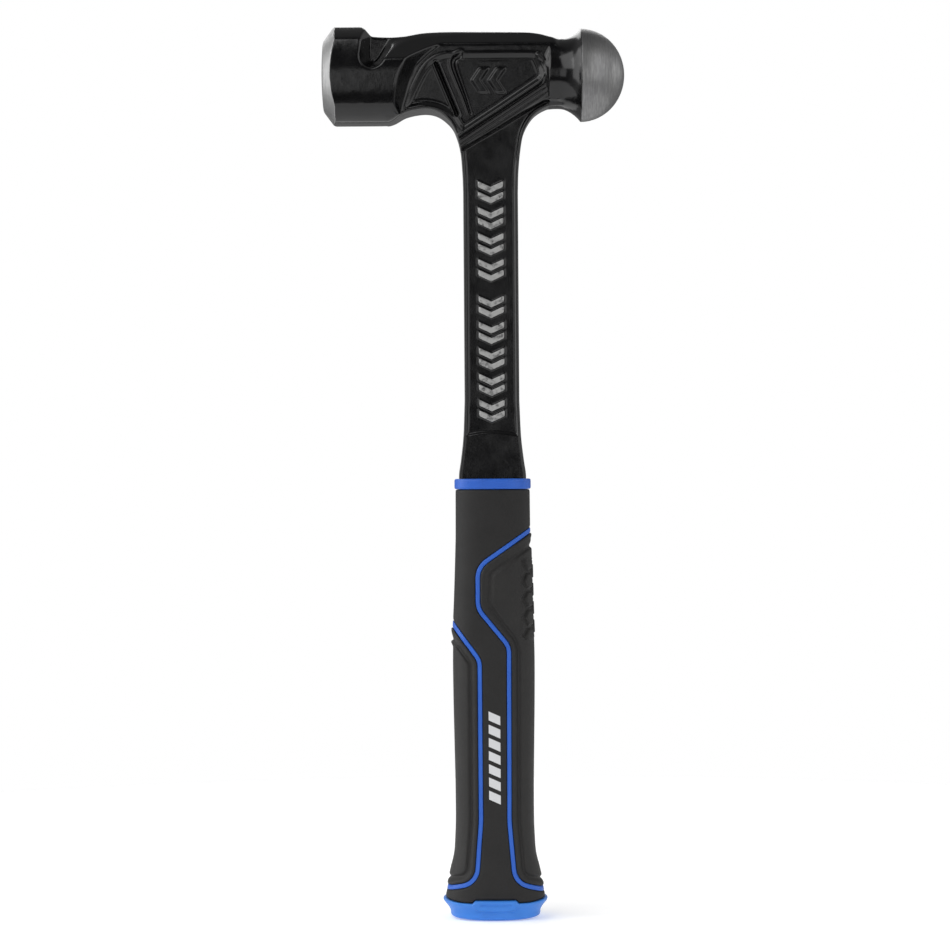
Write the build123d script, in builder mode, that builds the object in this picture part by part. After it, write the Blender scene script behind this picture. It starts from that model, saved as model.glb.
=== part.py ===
"""Ball peen hammer: a one-piece steel forging with a grip moulded over its tang.

Millimetres, +Z up. The origin is the centre of the butt's flat underside, on the handle's
axis. The strike face looks along -X, the ball along +X, and Y is the hammer's thickness.
Both side faces are alike, so everything is symmetric about the plane Y = 0.
"""
import os

from build123d import *

os.makedirs("parts", exist_ok=True)

# ---- Driving dimensions: head ------------------------------------------------
head_axis_z = 360.2        # height of the line through the strike face and the ball
face_x = -71.9             # middle of the crowned strike face
face_crown_radius = 15.0   # the crown ends here and the ground bevel starts
face_crown_rise = 0.7
bevel_back_x = -65.3       # where the bevel has reached the poll's widest corner
bevel_back_radius = 23.0
poll_back_x = -53.5
poll_half_height = 20.6
poll_half_depth = 19.5
poll_side_corner = (17.0, 14.4)    # Y and Z from the head axis: end of a side facet
poll_top_corner = (8.7, 20.3)      # the same: end of the top or bottom facet
poll_slant_bow = (13.12, 17.73)    # the same: middle of the slanting facet between them

shoulder_x = -43.0         # the octagon has become flat-sided here
shoulder_bottom_z = 341.0
web_x = -47.5              # narrow web between the poll and the cheeks
web_top_z = 376.6
body_half_depth = 12.0
body_top_z = 379.0
body_right_x = 28.6
top_bevel = 5.0            # slanting band along the head's edges
scoop_floor_y = 6.5        # the scoop beside the web leaves this half-thickness

ridge_half_depth = 9.0     # stepped ridge between the cheek and the shank
cheek_recess = 1.2         # sunken panel of the cheek
slot_depth = 2.4           # two slots that cross the panel
slot_width = 1.4
emblem_rise = 0.7
emblem_height = 12.0
emblem_z = 358.0

waist_x = 28.5             # thinnest place of the round neck before the ball
waist_radius = 14.9
ball_x = 38.9              # edge where the neck meets the ball
ball_radius = 19.85
ball_tip_x = 57.7

# ---- Driving dimensions: shank and tang --------------------------------------
shank_half_width = 11.7
shank_half_depth = 5.5
shank_straight_top_z = 314.0
shank_flare_z = 221.0      # the shank widens below this height
shank_foot_z = 189.5
shank_foot_half_width = 14.3
panel_rim = 1.3
panel_depth = 0.9
panel_foot_z = 204.0       # centre of the panel's half-round lower end
mark_width = 11.1
mark_stroke = 2.8
mark_gap = 1.7             # between the two chevrons of one mark
mark_drop = 2.6            # how far a chevron's middle lies below its ends
mark_pitch = 11.1
mark_groups = [(310.0, 4), (261.0, 5)]     # middle of the uppermost mark, and how many
tang_half_width = 8.5
tang_half_depth = 4.0
tang_end_z = 18.0
keying_hole_radius = 3.5
keying_hole_heights = [60.0, 105.0, 150.0]

# ---- Driving dimensions: grip ------------------------------------------------
collar_bottom_z = 183.1
collar_top_z = 187.6
collar_width = 32.7
collar_depth = 27.6
collar_edge = 0.8
core_width = 25.0
core_depth = 18.0
core_corner = 5.0
cap_top_z = 8.4
pad_rise = 0.5             # the palm pads stand this far out of the main shell
line_width = 1.84          # accent loop round each palm pad
stud_rise = 0.5            # hexagonal studs on the front pad
stud_pitch = 7.7
stud_across = 4.6
stud_column_gap = 6.7
stud_low_z = 121.5
badge_half_width = 9.7
badge_low_z = 4.2
badge_rise = 0.4
badge_point = 2.4
plug_half_width = 8.0
plug_half_depth = 3.5
plug_top_z = 16.5

# Height, width and depth of the grip, from its lower end to its upper end.
grip_sections = [
    (cap_top_z, 43.0, 33.8),
    (12.5, 41.2, 32.8),
    (16.0, 39.6, 32.2),
    (20.5, 37.6, 31.2),
    (27.0, 34.6, 29.8),
    (36.0, 33.4, 28.6),
    (54.0, 32.8, 28.0),
    (75.0, 33.4, 28.2),
    (93.0, 33.9, 28.4),
    (112.0, 34.0, 28.4),
    (135.0, 32.8, 27.8),
    (165.0, 32.2, 27.2),
    (183.1, 32.0, 27.0),
]
# The same for the butt cap, from the floor up to the grip.
cap_sections = [
    (0.0, 36.6, 30.0),
    (1.0, 38.0, 31.2),
    (3.4, 38.6, 31.8),
    (4.8, 40.0, 33.0),
    (cap_top_z, 44.6, 36.4),
]
corner_share = 0.42        # corner radius of a grip section over its depth

# Middle line of each accent loop on the side face, X and Z. Both ends run off the grip.
front_loop = [
    (30.0, 175.4), (-6.65, 150.0), (-6.65, 132.3), (6.45, 116.3), (6.1, 42.0), (8.3, 16.3), (30.0, 9.2),
]
front_loop_radii = [9.0, 9.0, 8.0, 60.0, 8.0]
rear_loop = [(-30.0, 142.7), (-6.1, 110.4), (-6.0, 42.0), (-8.0, 16.3), (-30.0, 10.8)]
rear_loop_radii = [8.0, 60.0, 8.0]

reach = 60.0               # half-length of a cutting prism, more than any half-depth
head_axis = Axis((0, 0, head_axis_z), (1, 0, 0))


def loft_sections(sections, grow):
    """Closed form through rounded rectangles, grown outward by the amount given."""
    with BuildPart() as form:
        for height, width, depth in sections:
            with BuildSketch(Plane.XY.offset(height)):
                RectangleRounded(width + 2 * grow, depth + 2 * grow, corner_share * depth + grow)
        loft(ruled=True)
    return form.part


def loop_prism(points, radii, grow):
    """Prism along Y over the area that a loop closes off, grown by the amount given."""
    with BuildPart() as prism:
        with BuildSketch(Plane.XZ):
            with BuildLine():
                path = FilletPolyline(*points, radius=radii)
                Line(path @ 1, path @ 0)
            make_face()
            offset(amount=grow)
        extrude(amount=reach, both=True)
    return prism.part


def chevron(half_width, drop, stroke):
    """Chevron that points along the sketch's -Y, with its ends at the given half-width."""
    Polygon(
        (-half_width, 0), (0, -drop), (half_width, 0),
        (half_width, -stroke), (0, -stroke - drop), (-half_width, -stroke),
        align=None,
    )


# ---- Poll: a bowed octagon bar, turned to a crown and a bevel -----------------
side_y, side_z = poll_side_corner
top_y, top_z = poll_top_corner
slant_y, slant_z = poll_slant_bow
poll_corners = [
    (side_y, -side_z), (side_y, side_z), (top_y, top_z), (-top_y, top_z),
    (-side_y, side_z), (-side_y, -side_z), (-top_y, -top_z), (top_y, -top_z),
]
poll_bows = [
    (poll_half_depth, 0), (slant_y, slant_z), (0, poll_half_height), (-slant_y, slant_z),
    (-poll_half_depth, 0), (-slant_y, -slant_z), (0, -poll_half_height), (slant_y, -slant_z),
]

with BuildPart() as poll:
    with BuildSketch(Plane((poll_back_x, 0, head_axis_z), x_dir=(0, 1, 0), z_dir=(1, 0, 0))):
        with BuildLine():
            for start, middle, end in zip(poll_corners, poll_bows, poll_corners[1:] + poll_corners[:1]):
                ThreePointArc(start, middle, end)
        make_face()
    extrude(amount=face_x - poll_back_x - 1)
    with BuildSketch(Plane.XZ):
        with BuildLine():
            crown_middle = (face_x, head_axis_z)
            crown_between = (face_x + face_crown_rise / 4, head_axis_z + face_crown_radius / 2)
            crown_edge = (face_x + face_crown_rise, head_axis_z + face_crown_radius)
            ThreePointArc(crown_middle, crown_between, crown_edge)
            Polyline(
                crown_edge,
                (bevel_back_x, head_axis_z + bevel_back_radius),
                (poll_back_x, head_axis_z + bevel_back_radius),
                (poll_back_x, head_axis_z),
                crown_middle,
            )
        make_face()
    revolve(axis=head_axis, mode=Mode.INTERSECT)

# ---- Shoulder: from the octagon down to the flat-sided body -------------------
shoulder_middle_z = (web_top_z + shoulder_bottom_z) / 2
shoulder_half_height = (web_top_z - shoulder_bottom_z) / 2
body_y = body_half_depth
inner_y = body_half_depth - top_bevel
inner_z = shoulder_half_height - top_bevel
with BuildPart() as shoulder:
    with BuildSketch(Plane((poll_back_x, 0, head_axis_z), x_dir=(0, 1, 0), z_dir=(1, 0, 0))):
        Polygon(*poll_corners, align=None)
    with BuildSketch(Plane((shoulder_x, 0, shoulder_middle_z), x_dir=(0, 1, 0), z_dir=(1, 0, 0))):
        Polygon(
            (body_y, -inner_z), (body_y, inner_z),
            (inner_y, shoulder_half_height), (-inner_y, shoulder_half_height),
            (-body_y, inner_z), (-body_y, -inner_z),
            (-inner_y, -shoulder_half_height), (inner_y, -shoulder_half_height),
            align=None,
        )
    loft(ruled=True)

# ---- Head body: flat-sided block with bevelled top, arched underneath ---------
left_arch_top = (-28.5, 344.1)
left_arch_end = (-13.0, 330.5)
right_arch_top = (body_right_x, 346.2)
right_arch_end = (13.0, 330.1)
ridge_upper = [(body_right_x, 362.5), (24.0, 358.5), (4.3, 345.2), (-14.4, 333.6)]
ridge_lower = [(body_right_x, 350.8), (23.7, 350.2), (15.9, 346.6), (4.3, 339.2), (-12.4, 327.2)]

with BuildPart() as head_body:
    with BuildSketch(Plane.XZ):
        with BuildLine():
            Polyline((web_x, shoulder_bottom_z), (web_x, web_top_z), (-37.5, web_top_z))
            crest = Spline(
                (-37.5, web_top_z), (-28.0, 378.3), (-15.0, body_top_z), (0.3, body_top_z),
                (13.2, 378.6), (23.4, 376.7), (body_right_x, 375.4),
                tangents=((1, 0.1), (1, -0.1)),
            )
            Polyline(crest @ 1, *ridge_upper)
            ThreePointArc(ridge_upper[-1], (-19.5, 341.0), left_arch_top)
            ThreePointArc(left_arch_top, (-38.0, 342.2), (web_x, shoulder_bottom_z))
        make_face()
    extrude(amount=body_half_depth, both=True)
    with BuildSketch(Plane.YZ.offset(web_x)):
        Polygon(
            (body_y, ridge_upper[-1][1]), (body_y, body_top_z - top_bevel),
            (inner_y, body_top_z + 0.5), (-inner_y, body_top_z + 0.5),
            (-body_y, body_top_z - top_bevel), (-body_y, ridge_upper[-1][1]),
            align=None,
        )
    extrude(amount=body_right_x - web_x, mode=Mode.INTERSECT)

# ---- Ridge under the cheek: a step between the body and the shank --------------
with BuildPart() as ridge:
    with BuildSketch(Plane.XZ):
        with BuildLine():
            Polyline(*ridge_upper, *ridge_lower[::-1], ridge_upper[0])
        make_face()
    extrude(amount=ridge_half_depth, both=True)

# ---- Ball end: round neck and ball, turned about the head axis -----------------
ball_root_x = 27.0
with BuildPart() as ball_end:
    with BuildSketch(Plane.XZ):
        with BuildLine():
            neck_start = (ball_root_x, head_axis_z + waist_radius)
            waist = (waist_x, head_axis_z + waist_radius)
            ball_edge = (ball_x, head_axis_z + ball_radius)
            Polyline((ball_root_x, head_axis_z), neck_start, waist)
            TangentArc(waist, ball_edge, tangent=(1, 0))
            EllipticalCenterArc((ball_x, head_axis_z), ball_tip_x - ball_x, ball_radius, arc_size=90)
            Line((ball_tip_x, head_axis_z), (ball_root_x, head_axis_z))
        make_face()
    revolve(axis=head_axis)

# ---- Shank: flat bar that flares towards the collar ----------------------------
with BuildPart() as shank:
    with BuildSketch(Plane.XZ):
        with BuildLine():
            Spline(
                (-shank_foot_half_width, shank_foot_z), (-12.7, 201.0), (-shank_half_width, shank_flare_z),
                tangents=((0.25, 1), (0, 1)),
            )
            Polyline(
                (-shank_half_width, shank_flare_z),
                (-shank_half_width, shank_straight_top_z),
                left_arch_end,
            )
            left_arch = ThreePointArc(left_arch_end, (-18.6, 340.4), (-24.0, 343.4))
            Polyline(left_arch @ 1, (-24.0, 352.0), (body_right_x, head_axis_z), right_arch_top)
            ThreePointArc(right_arch_top, (18.2, 341.4), right_arch_end)
            Polyline(
                right_arch_end,
                (shank_half_width, shank_straight_top_z),
                (shank_half_width, shank_flare_z),
            )
            Spline(
                (shank_half_width, shank_flare_z), (12.7, 201.0), (shank_foot_half_width, shank_foot_z),
                tangents=((0, -1), (0.25, -1)),
            )
            Polyline(
                (shank_foot_half_width, shank_foot_z),
                (shank_foot_half_width, collar_bottom_z),
                (-shank_foot_half_width, collar_bottom_z),
                (-shank_foot_half_width, shank_foot_z),
            )
        make_face()
    extrude(amount=shank_half_depth, both=True)

# ---- Everything sunk into the forging's two side faces -------------------------
cheek_outline = [
    (-22.0, 369.6), (20.5, 369.6), (21.5, 359.6), (3.2, 347.0), (-10.6, 338.4), (-32.8, 345.6),
]
cheek_corner = 2.0
panel_half_width = shank_half_width - panel_rim
with BuildPart() as side_cuts:
    # Scoop beside the web, open at the top
    with BuildSketch(Plane.XZ.offset(scoop_floor_y)):
        with BuildLine():
            Polyline((-35.5, body_top_z + 2), (-53.4, body_top_z + 2), (-53.4, 371.0))
            ThreePointArc((-53.4, 371.0), (-50.2, 363.6), (-44.7, 368.9))
            Line((-44.7, 368.9), (-35.5, body_top_z + 2))
        make_face()
    extrude(amount=reach)
    # Sunken panel of the cheek, inside its frame
    with BuildSketch(Plane.XZ.offset(body_half_depth - cheek_recess)):
        with BuildLine():
            FilletPolyline(*cheek_outline, radius=cheek_corner, close=True)
        make_face()
    extrude(amount=reach)
    # Two slots across the panel
    with BuildSketch(Plane.XZ.offset(body_half_depth - slot_depth)):
        with BuildLine():
            Line((-24.3, 365.0), (-15.0, 344.6))
        trace(line_width=slot_width)
        with BuildLine():
            Line((-16.9, 367.0), (-10.2, 344.2))
        trace(line_width=slot_width)
    extrude(amount=reach)
    # Long panel of the shank, with a half-round lower end
    with BuildSketch(Plane.XZ.offset(shank_half_depth - panel_depth)):
        with BuildLine():
            panel_left = (-panel_half_width, panel_foot_z)
            panel_right = (panel_half_width, panel_foot_z)
            ThreePointArc(panel_left, (0, panel_foot_z - panel_half_width), panel_right)
            Polyline(
                panel_right,
                (panel_half_width, 342.0),
                (4.3, 338.2),
                (-panel_half_width, 327.4),
                panel_left,
            )
        make_face()
    extrude(amount=reach)
    mirror(about=Plane.XZ)

# ---- Everything raised on the forging's two side faces -------------------------
with BuildPart() as side_marks:
    with BuildSketch(Plane.XZ.offset(tang_half_depth)):
        for first_z, count in mark_groups:
            for i in range(count):
                mark_top = first_z - i * mark_pitch + mark_stroke + (mark_gap + mark_drop) / 2
                with Locations((0, mark_top), (0, mark_top - mark_stroke - mark_gap)):
                    chevron(mark_width / 2, mark_drop, mark_stroke)
    extrude(amount=shank_half_depth - tang_half_depth)
    # Emblem on the cheek: two chevrons that point towards the ball
    with BuildSketch(Plane.XZ.offset(body_half_depth - cheek_recess - emblem_rise)):
        with Locations(Location((-6.8, emblem_z, 0), (0, 0, 90)), Location((1.2, emblem_z, 0), (0, 0, 90))):
            chevron(emblem_height / 2, 4.0, 3.0)
    extrude(amount=2 * emblem_rise)
    mirror(about=Plane.XZ)

# ---- Forged body: head, shank and tang in one piece of steel -------------------
with BuildPart() as forged_body:
    add(poll.part)
    add(shoulder.part)
    add(head_body.part)
    add(ridge.part)
    add(ball_end.part)
    add(shank.part)
    add(side_cuts.part, mode=Mode.SUBTRACT)
    add(side_marks.part)
    # Tang inside the grip, with holes that key the moulding
    with BuildSketch(Plane.XY.offset(tang_end_z)):
        Rectangle(2 * tang_half_width, 2 * tang_half_depth)
    extrude(amount=collar_bottom_z - tang_end_z)
    with BuildSketch(Plane.XZ):
        with Locations(*[(0, height) for height in keying_hole_heights]):
            Circle(keying_hole_radius)
    extrude(amount=reach, both=True, mode=Mode.SUBTRACT)

# ---- Grip core: hard sleeve moulded on the tang ---------------------------------
with BuildPart() as core_block:
    with BuildSketch(Plane.XY.offset(cap_top_z)):
        RectangleRounded(core_width, core_depth, core_corner)
    extrude(amount=collar_bottom_z - cap_top_z)

with BuildPart() as grip_core:
    add(core_block.part)
    # Socket for the butt cap's plug
    with BuildSketch(Plane.XY.offset(cap_top_z)):
        Rectangle(2 * plug_half_width, 2 * plug_half_depth)
    extrude(amount=plug_top_z - cap_top_z, mode=Mode.SUBTRACT)
    add(forged_body.part, mode=Mode.SUBTRACT)

# ---- Collar ring: closes the grip round the foot of the shank -------------------
with BuildPart() as collar_ring:
    with BuildSketch(Plane.XY.offset(collar_bottom_z)):
        RectangleRounded(collar_width, collar_depth, corner_share * collar_depth)
    extrude(amount=collar_top_z - collar_bottom_z)
    fillet(collar_ring.faces().filter_by(Axis.Z).edges(), collar_edge)
    with BuildSketch(Plane.XY.offset(collar_bottom_z)):
        Rectangle(2 * shank_foot_half_width, 2 * shank_half_depth)
    extrude(amount=collar_top_z - collar_bottom_z, mode=Mode.SUBTRACT)

# ---- Grip skin: forms shared by the shell, the pads and the loops ----------------
half_line = line_width / 2
grip_form = loft_sections(grip_sections, 0)
pad_form = loft_sections(grip_sections, pad_rise)
front_outer = loop_prism(front_loop, front_loop_radii, half_line)
front_inner = loop_prism(front_loop, front_loop_radii, -half_line)
rear_outer = loop_prism(rear_loop, rear_loop_radii, half_line)
rear_inner = loop_prism(rear_loop, rear_loop_radii, -half_line)

# Main shell, with a window for each palm pad
with BuildPart() as grip_shell:
    add(grip_form)
    add(core_block.part, mode=Mode.SUBTRACT)
    add(front_outer, mode=Mode.SUBTRACT)
    add(rear_outer, mode=Mode.SUBTRACT)

# Accent loops: thin closed bands between the shell and the pads
with BuildPart() as front_accent_loop:
    add(grip_form)
    add(front_outer, mode=Mode.INTERSECT)
    add(front_inner, mode=Mode.SUBTRACT)
    add(core_block.part, mode=Mode.SUBTRACT)

with BuildPart() as rear_accent_loop:
    add(grip_form)
    add(rear_outer, mode=Mode.INTERSECT)
    add(rear_inner, mode=Mode.SUBTRACT)
    add(core_block.part, mode=Mode.SUBTRACT)

# Palm pads, a little proud of the shell
with BuildPart() as rear_palm_pad:
    add(pad_form)
    add(rear_inner, mode=Mode.INTERSECT)
    add(core_block.part, mode=Mode.SUBTRACT)

# Studs stand on the front pad's outer edge in a honeycomb of three columns
with BuildPart() as studs:
    with BuildSketch(Plane.YZ.offset(core_width / 2 + 1)):
        for column, row_count in ((-1, 5), (0, 6), (1, 5)):
            first_z = stud_low_z + abs(column) * stud_pitch / 2
            spots = [(column * stud_column_gap, first_z + i * stud_pitch) for i in range(row_count)]
            with Locations(*spots):
                RegularPolygon(stud_across / 2, 6, major_radius=False, rotation=30)
    extrude(amount=reach)
    add(loft_sections(grip_sections, pad_rise + stud_rise), mode=Mode.INTERSECT)

with BuildPart() as front_palm_pad:
    add(pad_form)
    add(front_inner, mode=Mode.INTERSECT)
    add(core_block.part, mode=Mode.SUBTRACT)
    add(studs.part)

# ---- Butt cap: flared plug that closes the grip's lower end ----------------------
# Hexagonal badge on the front and the back, raised from the cap's own slope
with BuildPart() as badge:
    with BuildSketch(Plane.XZ):
        badge_middle_z = (badge_low_z + cap_top_z) / 2
        badge_shoulder = badge_half_width - badge_point
        Polygon(
            (-badge_half_width, badge_middle_z), (-badge_shoulder, cap_top_z),
            (badge_shoulder, cap_top_z), (badge_half_width, badge_middle_z),
            (badge_shoulder, badge_low_z), (-badge_shoulder, badge_low_z),
            align=None,
        )
    extrude(amount=reach, both=True)
    add(loft_sections(cap_sections, badge_rise), mode=Mode.INTERSECT)

with BuildPart() as butt_cap:
    add(loft_sections(cap_sections, 0))
    with BuildSketch(Plane.XY.offset(cap_top_z)):
        Rectangle(2 * plug_half_width, 2 * plug_half_depth)
    extrude(amount=plug_top_z - cap_top_z)
    add(badge.part)

# ---- Write one file for each piece -----------------------------------------------
pieces = {
    "forged_body": forged_body,
    "grip_core": grip_core,
    "collar_ring": collar_ring,
    "grip_shell": grip_shell,
    "front_palm_pad": front_palm_pad,
    "rear_palm_pad": rear_palm_pad,
    "front_accent_loop": front_accent_loop,
    "rear_accent_loop": rear_accent_loop,
    "butt_cap": butt_cap,
}
for name, piece in pieces.items():
    piece.part.label = name
    export_step(piece.part, f"parts/{name}.step")
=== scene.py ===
# Looks of the ball peen hammer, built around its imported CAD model.
#
# Each piece is a closed surface that is polygonised from a distance field: negative inside
# the piece, in millimetres, with the frame's own origin. Fields that need rounded edges are
# joined with smooth minima and maxima. The meshes are scaled to metres at the end.
import math

import bpy
import numpy as np
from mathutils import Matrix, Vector


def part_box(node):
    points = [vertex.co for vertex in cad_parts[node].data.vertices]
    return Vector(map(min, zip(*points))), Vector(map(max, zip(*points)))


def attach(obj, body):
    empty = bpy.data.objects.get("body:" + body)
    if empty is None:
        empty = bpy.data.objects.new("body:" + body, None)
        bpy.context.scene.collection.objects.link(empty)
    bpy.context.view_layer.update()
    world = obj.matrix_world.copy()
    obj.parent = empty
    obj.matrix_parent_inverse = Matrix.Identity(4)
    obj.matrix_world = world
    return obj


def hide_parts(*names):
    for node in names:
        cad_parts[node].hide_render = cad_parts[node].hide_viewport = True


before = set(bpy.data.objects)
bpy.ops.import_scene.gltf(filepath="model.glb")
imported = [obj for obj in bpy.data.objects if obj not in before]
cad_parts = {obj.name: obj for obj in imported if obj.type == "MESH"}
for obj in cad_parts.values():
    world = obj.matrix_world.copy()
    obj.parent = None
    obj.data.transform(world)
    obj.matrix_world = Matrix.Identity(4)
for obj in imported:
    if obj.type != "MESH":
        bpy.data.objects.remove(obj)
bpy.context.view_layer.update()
MM = 0.001


def box_mm(node):
    low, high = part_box(node)
    return np.array(low) / MM, np.array(high) / MM


# ---- Driving sizes, read from the frame ---------------------------------------
forging_low, forging_high = box_mm("forged_body")
collar_low, collar_high = box_mm("collar_ring")
shell_low, _ = box_mm("grip_shell")
FACE_X = forging_low[0]
BALL_TIP_X = forging_high[0]
BALL_RADIUS = forging_high[1]
HEAD_TOP = forging_high[2]
POLL_HALF_HEIGHT = 20.6
AXIS_Z = HEAD_TOP - POLL_HALF_HEIGHT
COLLAR_BOTTOM = collar_low[2]
COLLAR_TOP = collar_high[2]
CAP_TOP = shell_low[2]


# ---- Shaping tools -------------------------------------------------------------
def smooth_max(a, b, radius):
    """Larger of two fields, with the edge between them rounded."""
    near = np.maximum(radius - np.abs(a - b), 0) / radius
    return np.maximum(a, b) + near * near * radius * 0.25


def smooth_min(a, b, radius):
    return -smooth_max(-a, -b, radius)


def below(d, width):
    """Mask that is 1 where d is well under zero and 0 where it is well over."""
    t = np.clip(0.5 - d / width, 0, 1)
    return t * t * (3 - 2 * t)


def bead(d, half_width):
    """Bump that is 1 on the line d = 0 and 0 beyond the half-width."""
    t = np.clip(1 - np.abs(d) / half_width, 0, 1)
    return t * t * (3 - 2 * t)


def profile(x, points):
    """Smooth curve through a few (x, value) points, held level beyond its ends."""
    xs, ys = (np.array(column, float) for column in zip(*points))
    slopes = np.gradient(ys, xs)
    x = np.clip(x, xs[0], xs[-1])
    i = np.clip(np.searchsorted(xs, x) - 1, 0, len(xs) - 2)
    span = xs[i + 1] - xs[i]
    t = (x - xs[i]) / span
    t2 = t * t
    t3 = t2 * t
    return (
        (2 * t3 - 3 * t2 + 1) * ys[i] + (t3 - 2 * t2 + t) * span * slopes[i]
        + (3 * t2 - 2 * t3) * ys[i + 1] + (t3 - t2) * span * slopes[i + 1]
    )


def curve(points, count=6):
    """Points along a smooth curve through the given points."""
    p = np.array(points, float)
    p = np.vstack([2 * p[0] - p[1], p, 2 * p[-1] - p[-2]])
    found = []
    for a, b, c, d in zip(p, p[1:], p[2:], p[3:]):
        for t in np.arange(count) / count:
            found.append(
                b + 0.5 * t * (c - a + t * (2 * a - 5 * b + 4 * c - d + t * (3 * (b - c) + d - a)))
            )
    found.append(p[-2])
    return np.array(found)


def rounded(points, radii, count=8):
    """Open polyline with its inner corners turned into arcs of the given radii."""
    p = np.array(points, float)
    found = [p[0]]
    for before, corner, after, radius in zip(p, p[1:], p[2:], radii):
        u = (before - corner) / np.linalg.norm(before - corner)
        v = (after - corner) / np.linalg.norm(after - corner)
        half = math.acos(np.clip(u @ v, -1, 1)) / 2
        centre = corner + (u + v) / np.linalg.norm(u + v) * radius / math.sin(half)
        start = corner + u * radius / math.tan(half) - centre
        end = corner + v * radius / math.tan(half) - centre
        turn = math.atan2(start[0] * end[1] - start[1] * end[0], start @ end)
        for t in np.linspace(0, turn, count):
            c, s = math.cos(t), math.sin(t)
            found.append(centre + [c * start[0] - s * start[1], s * start[0] + c * start[1]])
    found.append(p[-1])
    return np.array(found)


def line_distance(points, x, z, closed=False):
    """Distance in the X-Z plane to a polyline; signed, and negative inside, where it is closed."""
    shape = np.broadcast(x, z).shape
    px = np.broadcast_to(x, shape).ravel()
    pz = np.broadcast_to(z, shape).ravel()
    best = np.full(px.size, 1e9)
    inside = np.zeros(px.size, bool)
    starts = points if closed else points[:-1]
    ends = np.roll(points, -1, 0) if closed else points[1:]
    for (ax, az), (bx, bz) in zip(starts, ends):
        ex, ez = bx - ax, bz - az
        length = ex * ex + ez * ez
        if length < 1e-12:
            continue
        t = np.clip(((px - ax) * ex + (pz - az) * ez) / length, 0, 1)
        best = np.minimum(best, (px - ax - t * ex) ** 2 + (pz - az - t * ez) ** 2)
        if closed and ez:
            inside ^= ((az > pz) != (bz > pz)) & (px < ex * (pz - az) / ez + ax)
    best = np.sqrt(best)
    best[inside] *= -1
    return best.reshape(shape)


# ---- Polygoniser -----------------------------------------------------------------
TILE = 40
CORNERS = [(i, j, k) for i in (0, 1) for j in (0, 1) for k in (0, 1)]
EDGES = [(a, b) for a in CORNERS for b in CORNERS if a < b and sum(np.abs(np.subtract(a, b))) == 1]


def sample(grid, origin, step, points):
    """Trilinear samples of a grid at the given points."""
    q = (points - origin) / step
    i = np.clip(np.floor(q).astype(int), 0, np.array(grid.shape[:3]) - 2)
    t = q - i
    total = 0
    for corner in CORNERS:
        weight = np.prod(np.where(corner, t, 1 - t), axis=1)
        value = grid[i[:, 0] + corner[0], i[:, 1] + corner[1], i[:, 2] + corner[2]]
        total = total + (weight[:, None] * value if value.ndim == 2 else weight * value)
    return total


def polygonise(field, low, high, step, cut):
    """Vertices and quads of field = 0 between two heights, and the field's slopes on a grid.

    The field is alike on both sides of Y = 0. The slopes know nothing of the two cuts.
    """
    low, high = np.array(low, float), np.array(high, float)
    half = int(high[1] / step) + 1
    xs = np.arange(low[0], high[0] + step, step)
    ys = (np.arange(half) + 0.5) * step
    zs = np.arange(low[2], high[2] + step, step)
    upper = np.empty((len(xs), half, len(zs)), np.float32)
    for i in range(0, len(xs), TILE):
        for k in range(0, len(zs), TILE):
            x, z = xs[i:i + TILE], zs[k:k + TILE]
            reach = math.hypot(x[-1] - x[0], z[-1] - z[0]) / 2 + 4 * step
            middle = field(np.array([[[x.mean()]]]), ys[None, :, None], np.array([[[z.mean()]]]))
            if middle.min() > reach:
                upper[i:i + TILE, :, k:k + TILE] = middle.min() - reach
            else:
                block = field(x[:, None, None], ys[None, :, None], z[None, None, :])
                upper[i:i + TILE, :, k:k + TILE] = block
    values = np.concatenate([upper[:, ::-1], upper], axis=1)
    del upper
    origin = np.array([xs[0], -ys[-1], zs[0]])
    slopes = np.stack(np.gradient(values, step), axis=-1)
    values = np.maximum(values, np.maximum(cut[0] - zs, zs - cut[1]).astype(np.float32))
    inside = values < 0
    nx, ny, nz = np.array(inside.shape) - 1
    count = sum(inside[i:nx + i, j:ny + j, k:nz + k].astype(np.int8) for i, j, k in CORNERS)
    cells = np.argwhere((count > 0) & (count < 8))
    number = np.full(count.shape, -1, np.int32)
    number[tuple(cells.T)] = np.arange(len(cells))
    total = np.zeros((len(cells), 3))
    crossings = np.zeros(len(cells))
    for a, b in EDGES:
        va = values[tuple((cells + a).T)]
        vb = values[tuple((cells + b).T)]
        cross = (va < 0) != (vb < 0)
        t = np.where(cross, va / np.where(cross, va - vb, 1), 0)
        total += np.where(cross[:, None], np.array(a) + t[:, None] * np.subtract(b, a), 0)
        crossings += cross
    points = origin + (cells + total / crossings[:, None]) * step
    quads = []
    for axis in range(3):
        u, v = (axis + 1) % 3, (axis + 2) % 3
        first = [slice(1, n - 1) for n in values.shape]
        first[axis] = slice(0, values.shape[axis] - 1)
        second = list(first)
        second[axis] = slice(1, values.shape[axis])
        a, b = inside[tuple(first)], inside[tuple(second)]
        for turned, change in ((False, a & ~b), (True, b & ~a)):
            at = np.argwhere(change)
            at[:, u] += 1
            at[:, v] += 1
            ring = []
            for du, dv in ((-1, -1), (0, -1), (0, 0), (-1, 0)):
                cell = at.copy()
                cell[:, u] += du
                cell[:, v] += dv
                ring.append(number[tuple(cell.T)])
            quads.append(np.stack(ring[::-1] if turned else ring, axis=1))
    quads = np.concatenate(quads)
    whole = (points[:, 2] > cut[0] + step) & (points[:, 2] < cut[1] - step)
    for _ in range(2):
        value = sample(values, origin, step, points[whole])
        slope = sample(slopes, origin, step, points[whole])
        points[whole] -= (value / np.maximum((slope ** 2).sum(1), 0.05))[:, None].clip(-step, step) * slope
    return points, quads, (slopes, origin, step)


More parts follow.
